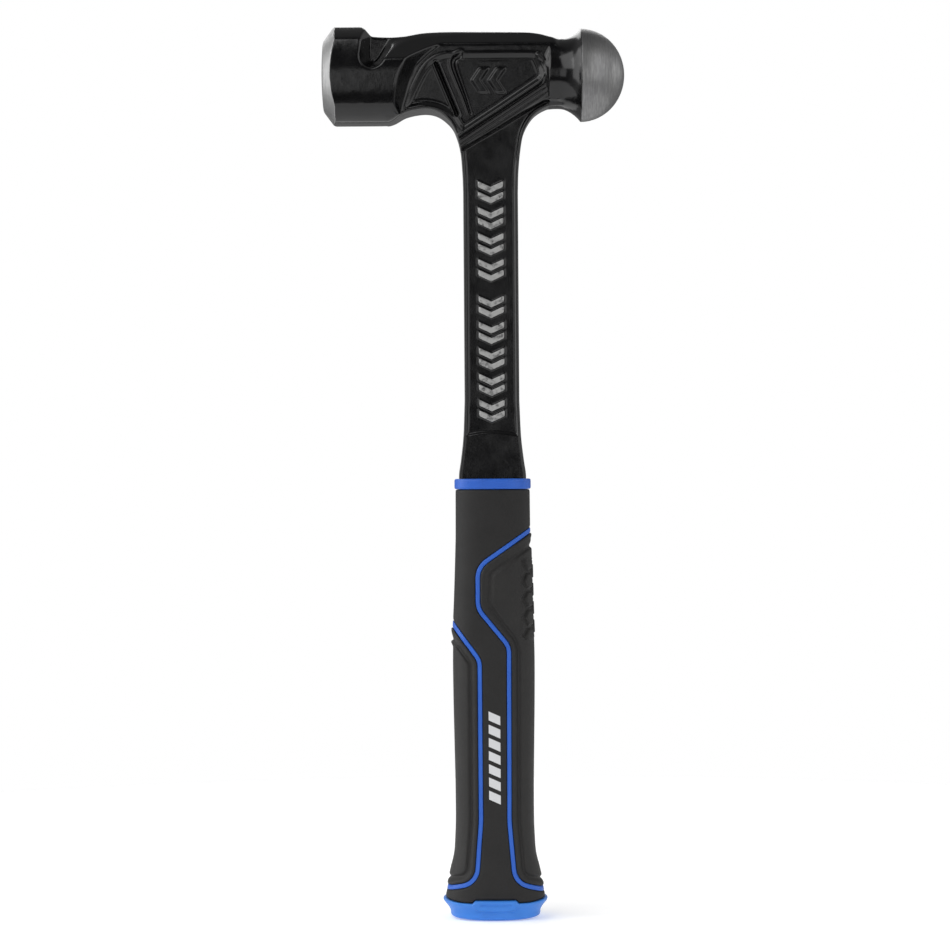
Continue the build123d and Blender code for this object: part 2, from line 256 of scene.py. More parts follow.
def make_piece(name, field, low, high, step, material, slot, *nodes, cut=(-1e3, 1e3)):
    """Meshes a field as one piece of the hammer that stands for the given CAD nodes."""
    points, quads, (slopes, origin, step) = polygonise(field, low, high, step, cut)
    mesh = bpy.data.meshes.new(name)
    mesh.vertices.add(len(points))
    mesh.vertices.foreach_set("co", points.ravel())
    mesh.loops.add(quads.size)
    mesh.loops.foreach_set("vertex_index", quads.ravel())
    mesh.polygons.add(len(quads))
    mesh.polygons.foreach_set("loop_start", np.arange(0, quads.size, 4))
    mesh.update(calc_edges=True)
    mesh.validate()
    piece = bpy.data.objects.new(name, mesh)
    bpy.context.scene.collection.objects.link(piece)
    points = np.empty(len(mesh.vertices) * 3)
    mesh.vertices.foreach_get("co", points)
    points = points.reshape(-1, 3)
    normals = sample(slopes, origin, step, points)
    normals /= np.linalg.norm(normals, axis=1, keepdims=True)
    mesh.vertices.foreach_set("co", (points * MM).ravel())
    mesh.polygons.foreach_set("use_smooth", np.ones(len(mesh.polygons), bool))
    mesh.update()
    mesh.normals_split_custom_set_from_vertices(normals)
    mesh.materials.append(material)
    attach(piece, "root")
    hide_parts(*nodes)
    print(name, len(mesh.polygons), "faces")
    return piece


# ---- Forging: poll and ball ------------------------------------------------------
CROWN_RADIUS = 161.0
CROWN_EDGE = 15.0
BEVEL_SLOPE = 1.348
CHEEK_Y = 12.0
WEB_Y = 6.5
SHANK_Y = 5.5
SEAM_Z = 317.0
SEAM_OVERLAP = 1.5
SEAM_TAPER = 0.04
TANG_X = 8.5
TANG_Y = 4.0
TANG_END_Z = 18.0
KEYING_HOLE_HEIGHTS = (60.0, 105.0, 150.0)
KEYING_HOLE_RADIUS = 3.5
CREST_Z = 372.7
WAIST_X = 29.0
WAIST_RADIUS = 14.9
WAIST_BEND = 12.3
BALL_X = 38.9


def facet(u, v, centre_u, centre_v, radius):
    """Shallow arc of a facet, as the distance outside its circle."""
    return np.hypot(u - centre_u, v - centre_v) - radius


def bevel_cone(x, r):
    """Distance outside the ground bevel that runs round the strike face."""
    return (r - CROWN_EDGE - (x - FACE_X - 0.7) * BEVEL_SLOPE) / math.hypot(1, BEVEL_SLOPE)


def poll(x, y, z):
    across = np.abs(y)
    up = np.abs(z - AXIS_Z)
    sides = np.maximum(facet(across, up, -23.2, 0, 42.7), facet(across, up, 0, -105.4, 126.0))
    bar = smooth_max(sides, facet(across, up, -3.11, -5.09, 28.0), 0.45)
    bar = np.maximum(bar, bevel_cone(x, np.hypot(y, z - AXIS_Z)))
    crown = np.sqrt((x - FACE_X - CROWN_RADIUS) ** 2 + y * y + (z - AXIS_Z) ** 2) - CROWN_RADIUS
    return smooth_max(bar, crown, 0.5)


def ball_end(x, y, z):
    lift = 0.8 * below(x - 34, 10)
    r = np.hypot(y, z - AXIS_Z - lift)
    away = np.clip(np.abs(x - WAIST_X), 0, 0.98 * WAIST_BEND)
    neck_radius = WAIST_RADIUS + WAIST_BEND - np.sqrt(WAIST_BEND ** 2 - away ** 2)
    neck_radius = np.where(x < WAIST_X, WAIST_RADIUS - 1.1 * np.maximum(25.5 - x, 0), neck_radius)
    neck_radius = np.minimum(neck_radius, BALL_RADIUS - 0.1)
    neck = smooth_max((r - neck_radius) * 0.85, x - BALL_X - 0.4, 0.6)
    long_axis = BALL_TIP_X - BALL_X
    r = np.hypot(y, z - AXIS_Z)
    scaled = np.hypot((x - BALL_X) / long_axis, r / BALL_RADIUS)
    ball = (scaled - 1) * long_axis
    ball = smooth_max(ball, BALL_X - x, 0.8)
    return smooth_min(neck, ball, 0.5)


# ---- Forging: outlines on the side face -------------------------------------------
top_edge = curve([
    (-54.6, 381.4), (-51.4, 377.8), (-48.6, 376.7), (-37.5, 376.6), (-28, 378.3), (-15, 379.0),
    (0, 379.0), (13.2, 378.6), (20.9, 377.5), (26, 376.0), (31, 375.2),
])
right_edge = curve([
    (31, 347), (25.8, 346.6), (20.6, 344.2), (17.2, 340.9), (14.3, 335.4), (12.9, 328),
    (12, 318.9), (11.7, 310),
])
foot_edge = curve([(11.7, 221), (12.3, 206), (13.45, 195.5), (14.3, 189.5), (14.3, COLLAR_BOTTOM)])
left_edge = curve([
    (-11.7, 310), (-12, 318.9), (-12.9, 329), (-15.1, 336.6), (-18, 340.7), (-22.6, 344.0),
    (-28.3, 345.0), (-35.9, 343.6), (-41, 340.6), (-43.5, 339.6), (-47, 338.4), (-52, 336),
])
outline = np.concatenate([
    [(-90, 330), (-90, 395), (-55, 395)], top_edge, right_edge, foot_edge,
    foot_edge[::-1] * [-1, 1], left_edge, [(-60, 330)],
])

# Line where the poll's end facet starts to fall away to the cheek.
poll_end = curve([
    (-20, 381), (-24, 376), (-29.3, 371.8), (-34.2, 366.8), (-36.4, 362.4), (-38.3, 358),
    (-39.9, 352.6), (-41.8, 345.8), (-43.2, 338),
])
poll_side = np.concatenate([poll_end, [(-44, 320), (-95, 320), (-95, 400), (-22, 400)]])
notch_floor = curve([
    (-50.6, 385), (-50.9, 374.6), (-51.3, 370.2), (-50.8, 367), (-49.3, 365.8), (-47.6, 367.4),
    (-45.9, 370), (-43.2, 375), (-39, 383),
])
notch_rim = curve([
    (-54.4, 385), (-54.7, 372), (-55.2, 367), (-54.6, 364.2), (-52.8, 362.2), (-50.1, 361.5),
    (-47, 362.7), (-45, 364.9), (-42.9, 368.4), (-39.7, 372.4), (-35.3, 376.5), (-29, 381),
])

panel = np.concatenate([
    curve([(-18.5, 368.3), (-23.6, 366.6), (-28.2, 362.4), (-33.3, 353), (-36.0, 345.9)]),
    curve([(-35.2, 345.2), (-28.4, 346.3), (-21.6, 345.1), (-16.2, 341.4), (-13.4, 337.4)]),
    [(-11.4, 335.2), (3.6, 344.9), (21.2, 356.6)],
    curve([(22.9, 358.6), (22.2, 362.4), (19.6, 367.6), (16, 368.3)]),
])
slot_line = np.array([(-22.9, 364.2), (-14.1, 342.6)])
wedge_line = curve([
    (-12.4, 368), (-15.1, 366.2), (-15.6, 363.4), (-14, 358.4), (-10.8, 349.8), (-8.6, 343),
])
diagonal = np.array([(60, 360.6), (25.2, 359.4), (22.9, 355.8), (4.3, 343.6), (-12.5, 332.6), (-22, 326.4)])
above_diagonal = np.concatenate([diagonal, [(-95, 326.4), (-95, 400), (60, 400)]])
ridge_edge = curve([
    (-22, 321.6), (-10.7, 328.2), (6, 337.8), (15.4, 343.6), (21.5, 347.2), (25, 348.4), (33, 347.8),
])
above_ridge = np.concatenate([ridge_edge, [(60, 347.8), (60, 400), (-95, 400), (-95, 321.6)]])
rib_line = curve([(20.8, 367.6), (24, 363.9), (26.5, 359.6), (29, 353.4), (30.2, 348.4)])
EMBLEM_X = 1.8
EMBLEM_Z = 357.0
MARK_REACH = 11.1 / 2
MARK_DROP = 2.6
MARK_STROKE = 2.8
MARK_GAP = 1.7
MARK_PITCH = 11.1
MARK_GROUPS = ((310.0, 4), (261.0, 5))


def chevron_distance(u, v, half, drop, stroke):
    """Distance to a chevron that spans u and dips along -v, negative inside."""
    slope = drop / half
    bar = (np.abs(v + drop - np.abs(u) * slope + stroke / 2) - stroke / 2) / math.hypot(1, slope)
    return smooth_max(bar, np.abs(u) - half, 0.5)


def mark_distance(x, z):
    found = np.full(np.broadcast(x, z).shape, 9.0)
    for first, count in MARK_GROUPS:
        for i in range(count):
            for step_down in (0, MARK_STROKE + MARK_GAP):
                top = first - i * MARK_PITCH + MARK_PITCH / 2 - 0.6 - step_down
                found = np.minimum(found, chevron_distance(x, z - top, MARK_REACH, MARK_DROP, MARK_STROKE))
    return found


def cheek_height(x, z):
    """Half-thickness over the cheek: sunken panel, slot, wedge and emblem."""
    d = line_distance(panel, x, z, closed=True)
    drop = np.clip(-d / 2.1, 0, 1)
    height = CHEEK_Y + 0.25 * bead(d - 0.3, 0.7) - 1.15 * drop * drop * (3 - 2 * drop)
    height = height + 0.16 * bead(d + 2.5, 0.5)
    slot = line_distance(slot_line, x, z)
    height = height - 2.2 * np.clip(1 - slot / 0.85, 0, 1) + 0.4 * bead(slot - 1.15, 0.7)
    cut = line_distance(wedge_line, x, z) / (0.55 + 0.75 * np.clip((z - 344) / 26, 0, 1))
    height = height - 1.3 * bead(cut, 1.15) + 0.3 * bead(cut, 0.35) + 0.2 * bead(cut - 1.45, 0.4)
    emblem = np.minimum(
        chevron_distance(z - EMBLEM_Z, x - EMBLEM_X + 2.6, 5.0, 3.4, 3.4),
        chevron_distance(z - EMBLEM_Z, x - EMBLEM_X - 4.6, 5.0, 3.4, 3.4),
    )
    height = height + 0.85 * below(emblem - 0.2, 0.7)
    return height


def side_height(x, z):
    """Half-thickness of the forging right of the poll."""
    x, z = np.broadcast_arrays(x, z)
    edge = line_distance(outline, x, z, closed=True)
    low = SHANK_Y + (WEB_Y - SHANK_Y) * np.clip((z - 314) / 32, 0, 1)
    rim = np.clip((edge + 1.9) / 0.9, 0, 1)
    foot = below(x * x / 90 + z - 207.5, 1.4)
    low = low - 0.9 * (1 - rim * rim * (3 - 2 * rim)) * (1 - foot)
    shaft = z < 318
    if shaft.any():
        marks = np.where(shaft, mark_distance(x, z), 9)
        low = low + 0.85 * below(marks, 0.8)
    if not (z > 320).any():
        return low, edge
    groove = line_distance(above_diagonal, x, z, closed=True)
    high = cheek_height(x, z)
    step_one = 1.1 * below(-(groove - 1.1), 0.5)
    step_two = 0.9 * below(-(groove - 3.1), 0.7)
    step_three = 0.8 * below(-(groove - 4.9), 0.7)
    high = high * below(groove, 0.5) + (CHEEK_Y - 0.4) * (1 - below(groove, 0.5))
    high = high - step_one - step_two - step_three
    high = high - 1.5 * bead(groove, 1.25) + 0.2 * bead(groove + 1.5, 0.6) + 0.25 * bead(groove - 1.45, 0.5)
    high = high - 0.25 * bead(groove - 3.3, 0.4) - 0.25 * bead(groove - 5.1, 0.4)
    rib = line_distance(rib_line, x, z)
    high = high + 1.1 * bead(rib, 1.5) * below(-(z - 346), 4)
    ridge = line_distance(above_ridge, x, z, closed=True)
    return low + (high - low) * below(ridge + 0.5, 1.3), edge


def forging(x, y, z):
    across = np.abs(y)
    height, edge = side_height(x, z)
    head = across - height
    if np.max(z) > 320:
        fall = line_distance(poll_side, x, z, closed=True)
        end = (across - CHEEK_Y - (4.4 - fall) * 1.45) / math.hypot(1, 1.45)
        bar = smooth_max(poll(x, y, z), end, 0.8)
        narrowing = np.hypot(across, z - AXIS_Z) - WAIST_RADIUS - 0.4 - 0.95 * np.maximum(30 - x, 0)
        slab = np.maximum(smooth_max(head, np.minimum(narrowing / 1.38, z - 344), 1.2), -44 - x)
        under = (across - 8.8 - 1.35 * (z - 339.8)) / 1.68
        slab = smooth_max(slab, np.minimum(under, -34 - x), 0.8)
        head = smooth_min(bar, slab, 0.9)
        crest = (across - CHEEK_Y + z - CREST_Z) / math.sqrt(2)
        head = smooth_max(head, np.minimum(crest, x + 46), 0.7)
        floor = np.maximum(line_distance(notch_floor, x, z, closed=True), 0)
        rim = line_distance(notch_rim, x, z, closed=True)
        way_up = floor / np.maximum(floor - rim, 0.2)
        left_depth = 19.4 - np.maximum(z - AXIS_Z, 0) ** 2 / 85
        right_depth = np.minimum(19.4, CHEEK_Y + CREST_Z - z)
        depth = right_depth + (left_depth - right_depth) * below(x + 49, 4)
        notch = (across - WEB_Y - (depth - WEB_Y) * way_up) * 0.45
        head = smooth_max(head, notch, 1.0)
    head = smooth_max(head, edge, 1.1)
    if np.max(z) > 320:
        head = smooth_min(head, ball_end(x, y, z), 1.6)
    return np.maximum(head, COLLAR_BOTTOM + 1 - z)


def head_half(x, y, z):
    """The forging above the hidden seam, drawn in very slightly below it."""
    return forging(x, y, z) + SEAM_TAPER * np.maximum(SEAM_Z + 0.4 - z, 0)


def shank_half(x, y, z):
    """The forging below the hidden seam, drawn in very slightly above it."""
    return forging(x, y, z) + SEAM_TAPER * np.maximum(z - SEAM_Z, 0)


def tang(x, y, z):
    body = smooth_max(np.abs(x) - TANG_X, np.abs(y) - TANG_Y, 1.0)
    body = np.maximum(np.maximum(body, z - COLLAR_BOTTOM - 1), TANG_END_Z - z)
    for height in KEYING_HOLE_HEIGHTS:
        body = np.maximum(body, KEYING_HOLE_RADIUS - np.hypot(x, z - height))
    return body


# ---- Grip ------------------------------------------------------------------------
LINE = 1.9 / 2              # half-width of an accent line
GAP = 0.05                  # clearance between two pieces of the grip
PAD_RISE = 0.15             # a palm pad over the shell, before its lip, step and plateau
LIP_RISE = 0.4
STEP_DEPTH = 0.85
PLATEAU_RISE = 0.35
STUD_ROW = 7.85             # spacing of the studs along and round the grip
STUD_COLUMN = 6.8
STUD_LOW_Z = 120.5
STUD_STAGGER = 3.92
STUD_HALF = 2.9
BADGE_Z = 6.9
half_widths = [
    (CAP_TOP - 3.4, 22.1), (12.5, 20.6), (16, 19.8), (20.5, 18.8), (27, 17.2), (36, 16.5),
    (54, 16.3), (75, 16.6), (93, 16.9), (112, 17.0), (135, 16.4), (165, 16.0), (COLLAR_BOTTOM, 15.9),
]
half_depths = [
    (CAP_TOP - 3.4, 17.2), (12.5, 16.4), (20, 15.6), (27, 14.9), (36, 14.3), (54, 14.0), (75, 14.1),
    (93, 14.2), (112, 14.2), (135, 13.9), (165, 13.6), (COLLAR_BOTTOM, 13.4),
]
cap_widths = [(0, 18.3), (1.0, 19.0), (3.4, 19.3), (4.8, 20.0), (8.0, 22.3), (10, 22.4)]
cap_depths = [(0, 15.0), (1.0, 15.6), (3.4, 15.9), (4.8, 16.5), (8.0, 18.3), (10, 18.2)]
front_line = rounded([
    (30, 175.4), (-6.65, 150), (-6.65, 132.3), (6.45, 116.3), (6.1, 42), (8.3, 16.3), (30, 9.2),
], [9, 9, 8, 60, 8])
rear_line = rounded([(-30, 142.7), (-6.1, 110.4), (-6.0, 42), (-8.0, 16.3), (-30, 10.8)], [8, 60, 8])


def section(x, y, half_width, half_depth, power=2.6):
    """Radial distance outside a rounded section of the given half-sizes."""
    ratio = ((np.abs(x) / half_width) ** power + (np.abs(y) / half_depth) ** power) ** (1 / power)
    return np.hypot(x, y) * (1 - 1 / np.maximum(ratio, 1e-3))


def grip_form(x, y, z):
    """The grip's general shape, fuller at the back just above the rear pad."""
    fuller = 0.9 * np.clip((162 - z) / 42, 0, 1) * below(116.8 - z, 2.5) * below(x + 8, 10)
    return section(x, y, profile(z, half_widths), profile(z, half_depths)) - fuller


def seam_height(x):
    """Height of the seam between the rubber and the butt cap."""
    away = np.abs(x)
    return CAP_TOP - 0.8 + 1.3 * below(away - 9.2, 1.6) + 1.1 * np.clip((away - 12) / 9, 0, 1) ** 2


def core(x, y, z):
    return smooth_max(np.abs(x) - 12.5, np.abs(y) - 9.0, 4)


def loops(x, z):
    return (
        line_distance(front_line, x, z, closed=True),
        line_distance(rear_line, x, z, closed=True),
    )


def grip_ends(x, z, body):
    body = smooth_max(body, seam_height(x) + 0.1 - z, 0.7)
    return smooth_max(body, z - COLLAR_BOTTOM + 0.05, 0.9)


def shell(x, y, z):
    front, rear = loops(x, z)
    outer = grip_form(x, y, z)
    gap = np.minimum(front, rear) - LINE - GAP
    body = smooth_max(outer, -gap, 0.7)
    return np.maximum(grip_ends(x, z, body), -core(x, y, z) + 0.02)


def accent(x, y, z, d):
    outer = grip_form(x, y, z) - 0.05
    body = smooth_max(outer, np.abs(d) - LINE, 0.35)
    body = np.maximum(body, -outer - 2.4)
    return grip_ends(x, z, body)


def lip(inside):
    """Raised lip along a palm pad's edge."""
    return LIP_RISE * bead(inside - 1.1, 1.3)


def plateau(inside, start):
    """Rise of a palm pad's middle, which starts at the given distance from its edge."""
    return PLATEAU_RISE * below(start - inside, 1.5)


def pad_relief(d):
    """Height of a palm pad over the grip: lip at its edge, sunken step, plateau."""
    inside = -d - LINE
    return PAD_RISE + lip(inside) - STEP_DEPTH * bead(inside - 3.1, 1.3) + plateau(inside, 3.1)


def stud_distance(x, y, z):
    """Distance to staggered columns of hexagons that wrap round the front of the grip."""
    around = np.arctan2(np.abs(y), x) * 15.5
    found = 9.0
    for column in range(3):
        for i in range(5):
            u = np.abs(around - STUD_COLUMN * column)
            lift = STUD_STAGGER * ((column + 1) % 2)
            v = np.abs(z - STUD_LOW_Z - lift - STUD_ROW * i)
            found = np.minimum(found, np.maximum(v, v / 2 + u * 0.866) - STUD_HALF)
    return found


def rear_pad(x, y, z):
    front, rear = loops(x, z)
    outer = grip_form(x, y, z) - pad_relief(rear)
    body = smooth_max(outer, rear + LINE + GAP, 0.7)
    return np.maximum(grip_ends(x, z, body), -core(x, y, z) + 0.02)


def front_pad(x, y, z):
    front, rear = loops(x, z)
    inside = -front - LINE
    wide = below(z - 133, 30)
    step_place = 4.6 - 1.5 * wide
    relief = PAD_RISE + lip(inside) - STEP_DEPTH * bead(inside - step_place, 1.6 - 0.3 * wide)
    relief = relief + plateau(inside, step_place)
    hexagon = stud_distance(x, y, z)
    zone = below(11.8 - x, 1) * below(np.abs(z - 136.2) - 17.0, 1.6)
    relief = relief + zone * (0.45 * below(hexagon, 0.5) - 1.0 * bead(hexagon - 0.6, 0.75))
    outer = grip_form(x, y, z) - relief
    body = smooth_max(outer, front + LINE + GAP, 0.7)
    return np.maximum(grip_ends(x, z, body), -core(x, y, z) + 0.02)


def accent_front(x, y, z):
    return accent(x, y, z, loops(x, z)[0])


def accent_rear(x, y, z):
    return accent(x, y, z, loops(x, z)[1])


def collar(x, y, z):
    half = (collar_high - collar_low) / 2
    body = section(x, y, half[0], half[1])
    from_middle = np.abs(z - (COLLAR_BOTTOM + COLLAR_TOP) / 2)
    body = smooth_max(body, from_middle - (COLLAR_TOP - COLLAR_BOTTOM) / 2, 0.9)
    shank_hole = smooth_max(np.abs(x) - 14.2, np.abs(y) - SHANK_Y, 1)
    tang_hole = smooth_max(np.abs(x) - TANG_X, np.abs(y) - TANG_Y, 1)
    return np.maximum(body, -np.minimum(shank_hole, tang_hole))


def cap(x, y, z):
    body = section(x, y, profile(z, cap_widths), profile(z, cap_depths))
    from_middle = np.abs(z - BADGE_Z)
    badge = np.maximum(from_middle - 2.7, (np.abs(x) + from_middle * 0.9 - 10.2) * 0.74)
    groove = smooth_max(from_middle - 0.45, np.abs(x) - 6.4, 0.3)
    fill = 0.35 + 0.6 * np.maximum(17.6 - profile(z, cap_depths), 0)
    body = body - fill * below(badge, 0.5) + 0.5 * below(groove, 0.5)
    body = smooth_max(body, z - seam_height(x) + 0.05, 0.9)
    plug = smooth_max(np.maximum(np.abs(x) - 8, np.abs(y) - 3.5), np.abs(z - 10) - 6.5, 0.8)
    body = smooth_max(body, 0.8 * (x / 19) ** 2 - z, 1.4)
    return smooth_min(body, plug, 0.5)


# ---- Materials ---------------------------------------------------------------------
def srgb(red, green, blue):
    """Linear colour of the given 0-255 screen colour."""
    shares = (red / 255, green / 255, blue / 255)
    return tuple(((c + 0.055) / 1.055) ** 2.4 if c > 10 / 255 else c / 12.92 for c in shares) + (1,)


class Shader:
    """Short way to build a material's node tree around one Principled shader."""

    def __init__(self, name):
        self.material = bpy.data.materials.new(name)
        self.material.use_nodes = True
        self.tree = self.material.node_tree
        self.surface = self.tree.nodes["Principled BSDF"]
        self.place = self.tree.nodes.new("ShaderNodeTexCoord").outputs["Object"]

    def link(self, value, socket):
        if isinstance(value, bpy.types.NodeSocket):
            self.tree.links.new(value, socket)
        else:
            socket.default_value = value

    def put(self, **values):
        for name, value in values.items():
            self.link(value, self.surface.inputs[name.replace("_", " ")])

    def maths(self, operation, *values):
        node = self.tree.nodes.new("ShaderNodeMath")
        node.operation = operation
        for value, socket in zip(values, node.inputs):
            self.link(value, socket)
        return node.outputs[0]

    def axes(self):
        """X, Y and Z in millimetres."""
        node = self.tree.nodes.new("ShaderNodeSeparateXYZ")
        self.link(self.place, node.inputs[0])
        return [self.maths("MULTIPLY", output, 1000.0) for output in node.outputs]

    def stretched(self, *scales):
        node = self.tree.nodes.new("ShaderNodeMapping")
        self.link(self.place, node.inputs["Vector"])
        node.inputs["Scale"].default_value = scales
        return node.outputs[0]

    def noise(self, scale, detail=3.0, rough=0.55, place=None):
        node = self.tree.nodes.new("ShaderNodeTexNoise")
        self.link(place or self.place, node.inputs["Vector"])
        node.inputs["Scale"].default_value = scale
        node.inputs["Detail"].default_value = detail
        node.inputs["Roughness"].default_value = rough
        return node.outputs["Fac"]

    def spread(self, value, low_in, high_in, low_out, high_out):
        node = self.tree.nodes.new("ShaderNodeMapRange")
        for item, socket in zip((value, low_in, high_in, low_out, high_out), node.inputs):
            self.link(item, socket)
        return node.outputs[0]

    def mix(self, share, first, second):
        node = self.tree.nodes.new("ShaderNodeMix")
        node.data_type = "RGBA"
        self.link(share, node.inputs["Factor"])
        self.link(first, node.inputs["A"])
        self.link(second, node.inputs["B"])
        return node.outputs["Result"]

    def bump(self, height, strength, distance, before=None):
        node = self.tree.nodes.new("ShaderNodeBump")
        node.inputs["Strength"].default_value = strength
        node.inputs["Distance"].default_value = distance
        self.link(height, node.inputs["Height"])
        if before:
            self.link(before, node.inputs["Normal"])
        return node.outputs[0]


BARE_FACE_X = -60.0         # only the bevel in front of this is ground bare
MARK_TOP_Y = 5.12
MARK_HALF = 6.5
MARK_LOW_Z = 210.0
MARK_HIGH_Z = 320.0


def forged_steel():
    """Gloss black enamel, with bare steel on the strike face, the ball and the mark tops."""
    shader = Shader("forged steel")
    x, y, z = shader.axes()
    up = shader.maths("SUBTRACT", z, AXIS_Z)
    squares = shader.maths("ADD", shader.maths("MULTIPLY", y, y), shader.maths("MULTIPLY", up, up))
    radius = shader.maths("SQRT", squares)
    reach = shader.maths("MULTIPLY", shader.maths("SUBTRACT", x, FACE_X + 0.7), BEVEL_SLOPE)
    outside = shader.maths("SUBTRACT", shader.maths("SUBTRACT", radius, CROWN_EDGE), reach)
    ragged = shader.spread(shader.noise(900, 4), 0, 1, -0.25, 0.25)
    ground = shader.spread(shader.maths("ADD", outside, ragged), -0.35, -0.15, 0, 1)
    ground = shader.maths("MULTIPLY", ground, shader.spread(x, BARE_FACE_X + 1, BARE_FACE_X, 0, 1))
    ground = shader.maths("MAXIMUM", ground, shader.spread(x, FACE_X + 1.05, FACE_X + 0.95, 0, 1))
    ball = shader.spread(shader.maths("ADD", x, ragged), BALL_X + 0.1, BALL_X + 0.35, 0, 1)
    across = shader.maths("ADD", shader.maths("ABSOLUTE", y), shader.maths("MULTIPLY", ragged, 0.4))
    tops = shader.spread(across, MARK_TOP_Y, MARK_TOP_Y + 0.12, 0, 1)
    for value, low, high in (
        (shader.maths("ABSOLUTE", x), MARK_HALF + 0.1, MARK_HALF),
        (z, MARK_LOW_Z, MARK_LOW_Z + 1),
        (z, MARK_HIGH_Z, MARK_HIGH_Z - 1),
    ):
        tops = shader.maths("MULTIPLY", tops, shader.spread(value, low, high, 0, 1))
    wear = shader.spread(shader.noise(420, 4, 0.65), 0.25, 0.5, 0.0, 1)
    tops = shader.maths("MULTIPLY", tops, wear)
    bare = shader.maths("MAXIMUM", shader.maths("MAXIMUM", ground, ball), tops)
    grain = shader.noise(220, 5, 0.65, shader.stretched(8, 1, 1))
    cloud = shader.noise(60, 3)
    steel = shader.mix(shader.spread(cloud, 0.3, 0.7, 0, 1), srgb(122, 122, 123), srgb(146, 146, 145))
    steel = shader.mix(shader.spread(grain, 0.35, 0.65, 0, 0.45), steel, srgb(94, 94, 96))
    # Painted highlight: the ground bevel round the strike face is painted a lighter steel than the ball,
    # standing in for its brighter reflection.
    steel = shader.mix(shader.maths("MULTIPLY", ground, 0.6), steel, srgb(158, 158, 158))
    steel = shader.mix(tops, steel, srgb(156, 156, 155))
    paint = shader.mix(shader.spread(cloud, 0.35, 0.7, 0, 1), srgb(6, 6, 7), srgb(11, 11, 12))
    steel_gloss = shader.spread(grain, 0.3, 0.7, 0.36, 0.54)
    paint_gloss = shader.spread(shader.noise(140, 3), 0.3, 0.7, 0.12, 0.2)
    change = shader.maths("SUBTRACT", steel_gloss, paint_gloss)
    gloss = shader.maths("ADD", paint_gloss, shader.maths("MULTIPLY", bare, change))
    peel = shader.bump(shader.noise(260, 2, 0.4), 0.35, 0.0002)
    surface = shader.bump(grain, 0.12, 0.0001, peel)
    metal = shader.maths("SUBTRACT", bare, shader.maths("MULTIPLY", tops, 0.6))
    shader.put(Base_Color=shader.mix(bare, paint, steel), Metallic=metal, Roughness=gloss, Normal=surface)
    shader.put(Specular_IOR_Level=0.42)
    return shader.material


def moulded(name, colour, mottled, rough, scale, depth):
    """Moulded plastic or rubber with a fine grain."""
    shader = Shader(name)
    cloud = shader.spread(shader.noise(90, 4, 0.6), 0.3, 0.7, 0, 1)
    fine = shader.noise(scale, 2, 0.5)
    base = shader.mix(cloud, colour, mottled)
    gloss = shader.spread(fine, 0.3, 0.7, rough - 0.06, rough + 0.06)
    broad = shader.bump(shader.noise(320, 3), 0.25, 0.0002)
    shader.put(Base_Color=base, Roughness=gloss, Normal=shader.bump(fine, 0.5, depth, broad))
    shader.put(Specular_IOR_Level=0.36)
    return shader


PRINT_LOW, PRINT_HIGH = 50.2, 89.0
PRINT_PITCH = 5.6
PRINT_DASH = 3.7
PRINT_SLANT = 0.45
PRINT_HALF_WIDTH = 2.5
PRINT_Y = -12.0             # the print is on the front only


def shell_rubber():
    """Black rubber, with a printed row of silver dashes up the strip between the palm pads."""
    shader = moulded("grip rubber", srgb(18, 17, 17), srgb(24, 23, 23), 0.66, 3200, 0.00008)
    x, y, z = shader.axes()
    along = shader.maths("ADD", z, shader.maths("MULTIPLY", x, PRINT_SLANT))
    row = shader.maths("MODULO", along, PRINT_PITCH)
    mark = shader.spread(row, PRINT_DASH, PRINT_DASH + 0.12, 1, 0)
    for value, low, high in (
        (shader.maths("ABSOLUTE", x), PRINT_HALF_WIDTH, PRINT_HALF_WIDTH - 0.1),
        (y, PRINT_Y + 0.2, PRINT_Y),
        (along, PRINT_LOW, PRINT_LOW + 0.1),
        (along, PRINT_HIGH, PRINT_HIGH - 0.1),
    ):
        mark = shader.maths("MULTIPLY", mark, shader.spread(value, low, high, 0, 1))
    base = shader.surface.inputs["Base Color"].links[0].from_socket
    shader.put(Base_Color=shader.mix(mark, base, srgb(196, 197, 199)))
    return shader.material


# ---- Making ------------------------------------------------------------------------
steel = forged_steel()
rubber = shell_rubber()
pad_rubber = moulded("pad rubber", srgb(21, 20, 20), srgb(27, 26, 25), 0.6, 2400, 0.00012).material
line_plastic = moulded("accent plastic", srgb(30, 82, 174), srgb(36, 90, 184), 0.45, 2600, 0.00004).material
# The cap is the same blue plastic as the accent lines; its lighter blue is painted light, standing in for
# the light that falls on the cap from below.
cap_plastic = moulded("cap plastic", srgb(48, 114, 198), srgb(56, 124, 208), 0.42, 2600, 0.00005).material
core_plastic = moulded("core plastic", srgb(30, 30, 31), srgb(36, 36, 37), 0.5, 2000, 0.00005).material

MARGIN = 1.0
HEAD_STEP = 0.38            # grid steps, finer where the relief is
SHANK_STEP = 0.4
SKIN_STEP = 0.45
FINE_STEP = 0.38
HIDDEN_STEP = 1.0
make_piece(
    "forged_head", head_half, (FACE_X - MARGIN, 0, SEAM_Z - 3),
    (BALL_TIP_X + MARGIN, BALL_RADIUS + MARGIN, HEAD_TOP + MARGIN),
    HEAD_STEP, steel, "forged_steel", "forged_body", cut=(SEAM_Z - SEAM_OVERLAP, 1e3),
)
make_piece(
    "forged_shank", shank_half, (-16, 0, COLLAR_BOTTOM - MARGIN), (16, 10, SEAM_Z + 3),
    SHANK_STEP, steel, "forged_steel", "forged_body", cut=(-1e3, SEAM_Z + SEAM_OVERLAP),
)
make_piece(
    "forged_tang", tang, (-10, 0, 17), (10, 5, COLLAR_BOTTOM + 2),
    HIDDEN_STEP, steel, "forged_steel", "forged_body",
)
grip_box = ((-23, 0, 4), (23, 19, COLLAR_BOTTOM + 1))
make_piece("grip_shell_skin", shell, *grip_box, SKIN_STEP, rubber, "grip_rubber", "grip_shell")
for name, field, node in (
    ("rear_palm_pad_skin", rear_pad, "rear_palm_pad"),
    ("front_palm_pad_skin", front_pad, "front_palm_pad"),
):
    make_piece(name, field, *grip_box, SKIN_STEP, pad_rubber, "pad_rubber", node)
